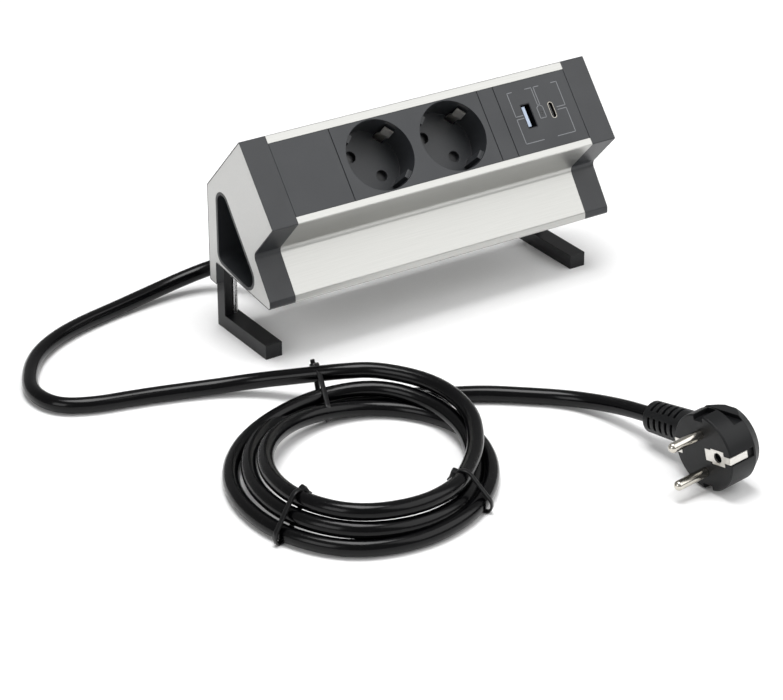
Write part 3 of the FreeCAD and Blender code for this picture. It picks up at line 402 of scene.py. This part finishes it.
TIE_THICK, TIE_WIDTH, TIE_STEPS = 1.1, 2.6, 120
TIE_CORNER = 0.35
STUB_WIDTH, STUB_CORNER = 0.85 * TIE_WIDTH, 0.3
HEAD_THICK, HEAD_WIDTH, HEAD_CORNER = 3.0, 4.2, 0.7
HEAD_LIFT, STUB_LIFT, STUB_SLANT = 0.9, 0.5, 0.3
CORD_CLEAR, FLOOR_CLEAR = 0.05, 0.15
# place along the strap in mm, and size of the section there
HEAD_ROWS = np.array([(-2.3, 0.75), (-1.9, 0.96), (0, 1.0), (1.9, 0.96), (2.3, 0.75)])[:, :, None]
STUB_ROWS = np.array([2.2, 3.0, 3.8])[:, None, None]
SECTION_POINTS = 4


def round_section(width, height, corner):
    """Rounded rectangle in mm: a quarter circle at each corner, joined by straight sides."""
    quarter = np.linspace(0, math.pi / 2, SECTION_POINTS)
    arcs = []
    for k, (sx, sy) in enumerate([(1, 1), (-1, 1), (-1, -1), (1, -1)]):
        a = quarter + k * math.pi / 2
        arcs.append(np.column_stack([sx * (width / 2 - corner) + corner * np.cos(a),
                                     sy * (height / 2 - corner) + corner * np.sin(a)]))
    return np.concatenate(arcs)


def cable_tie(name, turn, lean, head_turn, node, beside=()):
    """Nylon tie round the bundle at a turn angle. Its line is the convex hull of the cords' circles in the
    plane across the ring: for each direction, the furthest circle's centre plus its radius that way. A thin
    rounded strap runs along that line, leaning along the ring by lean mm. A locking head with a cut-off end
    sits on it at head_turn degrees from the outer side, over the top. beside holds more cord centres."""
    passes = np.array([turn + 360 * k for k in range(3) if turn + 360 * k < LAST_TURN])
    centres = np.vstack([coil_points(passes)] + [np.array([point]) for point in beside])
    ahead = np.diff(coil_points(np.array([turn - 2.0, turn + 2.0])), axis=0)[0] * (1, 1, 0)
    ahead /= np.linalg.norm(ahead)
    middle = centres.mean(0)
    out = np.array([ahead[1], -ahead[0], 0.0])
    out *= np.sign(out[:2] @ (middle[:2] - COIL_CENTRE))
    rise = np.array([0, 0, 1.0])
    flat = np.column_stack([(centres - middle) @ out, centres[:, 2] - middle[2]])
    angles = np.linspace(0, 2 * math.pi, TIE_STEPS, endpoint=False)
    ways = np.column_stack([np.cos(angles), np.sin(angles)])
    furthest = flat[np.argmax(flat @ ways.T, 0)]
    loop = furthest + ways * (CORD_R + TIE_THICK / 2 + CORD_CLEAR)
    loop[:, 1] = np.maximum(loop[:, 1], TIE_THICK / 2 + FLOOR_CLEAR - middle[2])
    spread = np.ptp(loop[:, 0]) / 2
    centre_line = (middle + np.outer(loop[:, 0], out) + np.outer(loop[:, 1], rise)
                   + np.outer(loop[:, 0] / spread * lean, ahead))
    outward = np.outer(ways[:, 0], out) + np.outer(ways[:, 1], rise)
    section = round_section(TIE_THICK, TIE_WIDTH, TIE_CORNER)
    rings = (centre_line[:, None] + section[None, :, :1] * outward[:, None]
             + section[None, :, 1:] * ahead)
    k = int(head_turn / 360 * TIE_STEPS) % TIE_STEPS
    tangent = np.cross(ahead, outward[k])
    seat = centre_line[k] + outward[k] * HEAD_LIFT
    block = round_section(HEAD_THICK, HEAD_WIDTH, HEAD_CORNER)
    head = seat + HEAD_ROWS[:, :1] * tangent + HEAD_ROWS[:, 1:] * (np.outer(block[:, 0], outward[k])
                                                                  + np.outer(block[:, 1], ahead))
    end = round_section(TIE_THICK, STUB_WIDTH, STUB_CORNER)
    stub = (seat + outward[k] * STUB_LIFT + STUB_ROWS * (tangent + outward[k] * STUB_SLANT)
            + np.outer(end[:, 0], outward[k]) + np.outer(end[:, 1], ahead))
    parts = [surface(rings * MM, wrap_rows=True, wrap_cols=True),
             surface(head * MM, wrap_cols=True, cap_start=True, cap_end=True),
             surface(stub * MM, wrap_cols=True, cap_start=True, cap_end=True)]
    return new_piece(name, parts, tie_nylon, [node])


# strain relief

RELIEF_START, RELIEF_LENGTH = 2.0, OUTLET_LENGTH - 2.0
RELIEF_R, RELIEF_TIP_R, RELIEF_ROUNDING = 6.9, 5.4, 1.6
RELIEF_RING, RELIEF_STEP = 96, 0.16
SLOTS_FROM, SLOTS_TO, SLOT_PITCH, SLOT_DEPTH = 4.0, 21.0, 2.8, 0.9
SLOT_ROWS = [(k + 0.5) * math.pi / 2 for k in range(4)]
SLOT_HALF_ANGLE = 0.55
# how the slots' walls rise: where a pulse begins, and how steep its ends and sides are
PULSE_FROM, PULSE_STEEPNESS, SECTOR_STEEPNESS = 0.42, 5.0, 8.0
TIP_WALL, WALL_GAP = 0.6, 0.3
BALL_R, BALL_STEPS = 7.2, 25
# height off the wall and radius along the flange's rim
FLANGE_RIM = np.array([(0.02, 10.0), (1.9, 10.0), (2.5, 9.5), (2.7, 8.6), (2.7, 6.0)])
FLANGE_STEPS = 72


def slotted_sleeve():
    """Tapered sleeve round the cord: the radius falls from RELIEF_R to RELIEF_TIP_R along its length and
    rounds off at the tip as a quarter ellipse. In each row of slots, a sector of the circle, the radius
    drops by SLOT_DEPTH in a pulse every SLOT_PITCH."""
    u = np.linspace(0, RELIEF_LENGTH, int(RELIEF_LENGTH / RELIEF_STEP))
    phi = np.linspace(0, 2 * math.pi, RELIEF_RING, endpoint=False)
    base = RELIEF_R + (RELIEF_TIP_R - RELIEF_R) * u / RELIEF_LENGTH
    rounding = np.clip((u - (RELIEF_LENGTH - RELIEF_ROUNDING)) / RELIEF_ROUNDING, 0, 1)
    base = base - (RELIEF_TIP_R - CORD_R - TIP_WALL) * (1 - np.sqrt(1 - 0.999 * rounding ** 2))
    pulse = 0.5 - 0.5 * np.cos(2 * math.pi * (u - SLOTS_FROM) / SLOT_PITCH)
    pulse = np.clip((pulse - PULSE_FROM) * PULSE_STEEPNESS, 0, 1) * ((u > SLOTS_FROM) & (u < SLOTS_TO))
    sector = np.zeros_like(phi)
    for centre in SLOT_ROWS:
        gap = np.abs((phi - centre + math.pi) % (2 * math.pi) - math.pi)
        sector = np.maximum(sector, np.clip((SLOT_HALF_ANGLE - gap) * SECTOR_STEEPNESS, 0, 1))
    radius = base[:, None] - SLOT_DEPTH * pulse[:, None] * sector[None, :]
    along = np.broadcast_to(u[:, None], radius.shape)
    points = np.stack([radius * np.cos(phi), along, radius * np.sin(phi)], -1)
    side = np.cross(OUTLET_WAY, [0, 0, 1.0])
    side /= np.linalg.norm(side)
    axes = np.array([side, OUTLET_WAY, np.cross(side, OUTLET_WAY)])
    return surface((OUTLET + OUTLET_WAY * RELIEF_START + points @ axes) * MM, wrap_cols=True,
                   cap_start=True, cap_end=True)


def outlet_relief():
    """Outlet on the back wall: a round flange (its rim turned about Y), a ball of radius BALL_R cut off at
    the wall, and the tapered slotted sleeve."""
    wall_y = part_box("housing_profile")[1].y / MM
    phi = np.linspace(0, 2 * math.pi, FLANGE_STEPS, endpoint=False)
    off, radius = FLANGE_RIM[:, :1], FLANGE_RIM[:, 1:]
    flange = np.stack([radius * np.cos(phi) + OUTLET[0], np.broadcast_to(wall_y + off, (len(off), len(phi))),
                       radius * np.sin(phi) + OUTLET[2]], -1)
    lat = np.linspace(-math.pi / 2, math.pi / 2, BALL_STEPS)
    height = np.broadcast_to(np.sin(lat)[:, None], (len(lat), len(phi)))
    ball = BALL_R * np.stack([np.outer(np.cos(lat), np.cos(phi)), height,
                              np.outer(np.cos(lat), np.sin(phi))], -1)
    ball[..., 1] = np.maximum(ball[..., 1], wall_y - OUTLET[1] + WALL_GAP)
    parts = [surface(flange * MM, wrap_cols=True, cap_start=True, cap_end=True), slotted_sleeve(),
             surface((ball + OUTLET) * MM, wrap_cols=True, cap_start=True, cap_end=True)]
    return new_piece("cord_outlet_sleeve", parts, relief_pvc, ["cord_outlet_relief"])


# charger print: thin frames round the ports

PORT = np.array(MOUNTS["usb_a"]["pos_m"], float)
PANEL_OUT = np.array(MOUNTS["usb_a"]["axis"], float)
PANEL_DOWN = np.array([0.0, -PANEL_OUT[2], PANEL_OUT[1]])
# lifts are counted from the plane of the panel, and the charger face lies between these two
INK_WIDTH, INK_BOTTOM, INK_TOP = 0.42, -0.11, -0.06


def on_panel(x_mm, down_mm, lift_mm):
    """Point in metres, x_mm to the right, down_mm down the slope and lift_mm out from the USB-A port."""
    return PORT + np.array([x_mm, 0, 0]) * MM + PANEL_DOWN * down_mm * MM + PANEL_OUT * lift_mm * MM


def ink_line(points):
    """Flat printed stroke along points: each run is a strip a little proud of the face."""
    parts = []
    for a, b in zip(points[:-1], points[1:]):
        a, b = np.array(a, float), np.array(b, float)
        way = (b - a) / np.linalg.norm(b - a)
        side = np.array([-way[1], way[0]]) * INK_WIDTH / 2
        a, b = a - way * INK_WIDTH / 2, b + way * INK_WIDTH / 2
        corners = [a + side, b + side, b - side, a - side]
        lifts = (INK_TOP, INK_BOTTOM)
        ring = np.array([[on_panel(*corner, lift) for corner in corners] for lift in lifts])
        parts.append(surface(ring, wrap_cols=True, cap_start=True, cap_end=True))
    return parts


def charger_print():
    """Grey frame lines that join each port to its group, with a small house round the status light. Each
    stroke's points are mm to the right of the USB-A port's middle and mm down the slope from it."""
    left, between, right = -7.8, 8.1, 23.5
    top, bottom = -14.1, 14.1
    strokes = [
        [(-4.9, top), (left, top), (left, -0.9), (-3.4, -0.9)],
        [(3.6, top), (between - 0.7, top), (between - 0.7, -4.6)],
        [(11.9, top), (between + 0.7, top), (between + 0.7, -4.6)],
        [(20.2, top), (right, top), (right, -0.9), (18.2, -0.9)],
        [(18.2, 0.6), (right, 0.6), (right, bottom), (12.3, bottom)],
        [(3.4, bottom), (left, bottom), (left, 0.6), (-3.4, 0.6)],
        [(6.3, 2.9), (6.3, -3.0), (between, -4.4), (9.9, -3.0), (9.9, 2.9), (6.3, 2.9)],
    ]
    parts = [part for stroke in strokes for part in ink_line(stroke)]
    return new_piece("charger_print_lines", parts, print_ink)


cord = mains_cord()
relief_piece = outlet_relief()
ties = [
    cable_tie("cable_tie_1", 336.7, 5.6, 0, "cord_tie_1", beside=[(-103.0, -63.6, 13.9)]),
    cable_tie("cable_tie_2", 207.0, -2.5, 150, "cord_tie_2"),
    cable_tie("cable_tie_3", 118.0, 2.0, 165, "cord_tie_3"),
]
charger_print()


# floor, camera and light

FLOOR_HALF = 6.0
LENS_MM, SENSOR_MM = 124.2, 36.0
CAMERA_AT = Vector((-0.7064, -1.0514, 0.6317))
CAMERA_RIGHT, CAMERA_UP = Vector((0.8352, -0.5499, 0.0)), Vector((0.2545, 0.3866, 0.8864))
LIGHTS_AIM = Vector((-0.03, -0.03, 0.05))
AIR_STRENGTH = 0.33
# name, place and size in metres, power in watts
SOFTBOXES = [
    ("softbox_overhead", (-0.15, -0.05, 1.5), (0.9, 0.7), 19.0),
    ("softbox_key", (0.85, -0.95, 1.15), (1.9, 1.4), 15.0),
    ("softbox_left", (-1.5, -0.5, 0.8), (0.8, 0.8), 6.0),
]

def paper_floor():
    """Wide flat sheet of matt white paper with a faint fibre grain."""
    material, tree = blank_material("matt_white_paper_floor")
    place = add_node(tree, "ShaderNodeTexCoord").outputs["Object"]
    fibre = add_node(tree, "ShaderNodeTexNoise", {"Vector": place, "Scale": 1 / (2 * MM), "Detail": 3.0})
    tone = add_node(tree, "ShaderNodeMix", {0: fibre.outputs[0], 6: linear("f6f6f6"), 7: linear("fafafa")},
                    data_type="RGBA")
    shader = add_node(tree, "ShaderNodeBsdfPrincipled", {"Base Color": tone.outputs[2], "Roughness": 0.9})
    add_node(tree, "ShaderNodeOutputMaterial", {"Surface": shader.outputs[0]})
    mesh = bpy.data.meshes.new("paper_floor")
    corners = [(x * FLOOR_HALF, y * FLOOR_HALF, 0) for x, y in ((-1, -1), (1, -1), (1, 1), (-1, 1))]
    mesh.from_pydata(corners, [], [(0, 1, 2, 3)])
    mesh.materials.append(material)
    floor = bpy.data.objects.new("paper_floor", mesh)
    bpy.context.scene.collection.objects.link(floor)


def long_lens_camera():
    """Camera from the front left, placed by its right and up directions."""
    lens = bpy.data.cameras.new("camera")
    lens.lens = LENS_MM
    lens.sensor_width = SENSOR_MM
    lens.clip_start = 0.05
    camera = bpy.data.objects.new("camera", lens)
    bpy.context.scene.collection.objects.link(camera)
    turn = Matrix((CAMERA_RIGHT, CAMERA_UP, CAMERA_RIGHT.cross(CAMERA_UP))).transposed()
    camera.matrix_world = Matrix.Translation(CAMERA_AT) @ turn.to_4x4()
    bpy.context.scene.camera = camera


def soft_light():
    """White air all round and three broad softboxes."""
    world = bpy.data.worlds.new("studio_air")
    world.use_nodes = True
    world.node_tree.nodes["Background"].inputs["Color"].default_value = (1.0, 1.0, 1.0, 1.0)
    world.node_tree.nodes["Background"].inputs["Strength"].default_value = AIR_STRENGTH
    bpy.context.scene.world = world
    for name, place, size, power in SOFTBOXES:
        light = bpy.data.lights.new(name, "AREA")
        light.shape = "RECTANGLE"
        light.size, light.size_y = size
        light.energy = power
        lamp = bpy.data.objects.new(name, light)
        bpy.context.scene.collection.objects.link(lamp)
        turn = (LIGHTS_AIM - Vector(place)).to_track_quat("-Z", "Y").to_matrix()
        lamp.matrix_world = Matrix.Translation(place) @ turn.to_4x4()
    bpy.context.scene.view_settings.view_transform = "Standard"


paper_floor()
long_lens_camera()
soft_light()
